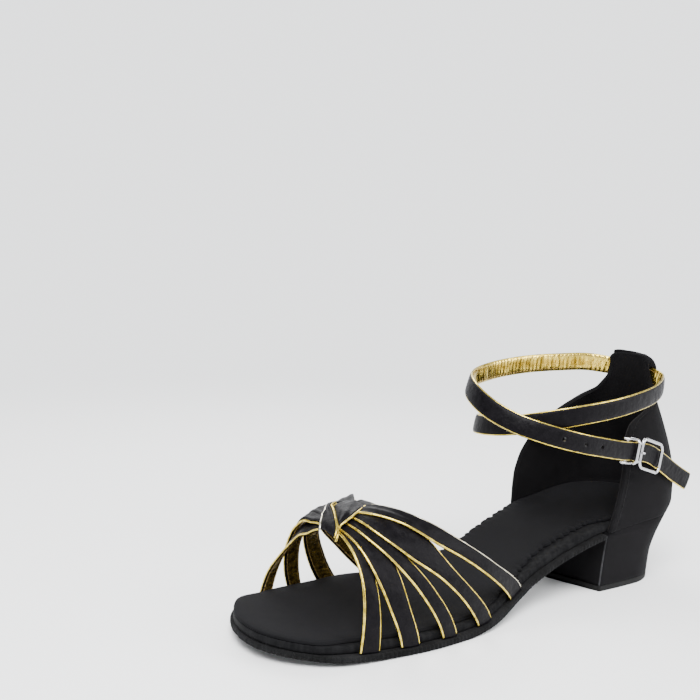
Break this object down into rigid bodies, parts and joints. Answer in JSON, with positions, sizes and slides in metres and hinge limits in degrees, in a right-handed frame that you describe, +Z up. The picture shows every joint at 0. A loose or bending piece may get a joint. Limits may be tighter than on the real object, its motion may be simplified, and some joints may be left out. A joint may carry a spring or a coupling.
{
  "type": "ballroom dance shoe",
  "caption": "Open-toed ballroom dance sandal for the left foot: knotted satin straps, closed suede heel counter, crossed ankle strap with buckle and low block heel.",
  "frame": {"origin": "middle of the footprint's bounding box, on the floor", "axes": "+X to the toe, +Y to the outer side of the left foot, +Z up"},
  "size_m": [0.249, 0.0826, 0.1103],
  "materials": {
    "satin": "black satin with a soft violet sheen",
    "heel_suede": "soft charcoal suede",
    "sock_suede": "brushed black suede",
    "platform_cover": "dull dark cloth",
    "sole_suede": "split suede with a fuzzy edge",
    "top_piece": "matt",
    "chrome": "polished",
    "gold_piping": "pale gold metallic foil",
    "gold_lining": "crinkled gold metallic foil"
  },
  "bodies": {
    "root": {"outsole": "sole_suede", "footbed": "platform_cover", "sock_lining": "sock_suede", "heel_block": "heel_suede", "heel_top_piece": "top_piece", "heel_counter": "heel_suede", "vamp_straps": "satin", "ankle_strap": "satin", "buckle_frame": "chrome", "buckle_prong": "chrome", "buckle_anchor": "satin"}
  },
  "joints": []
}
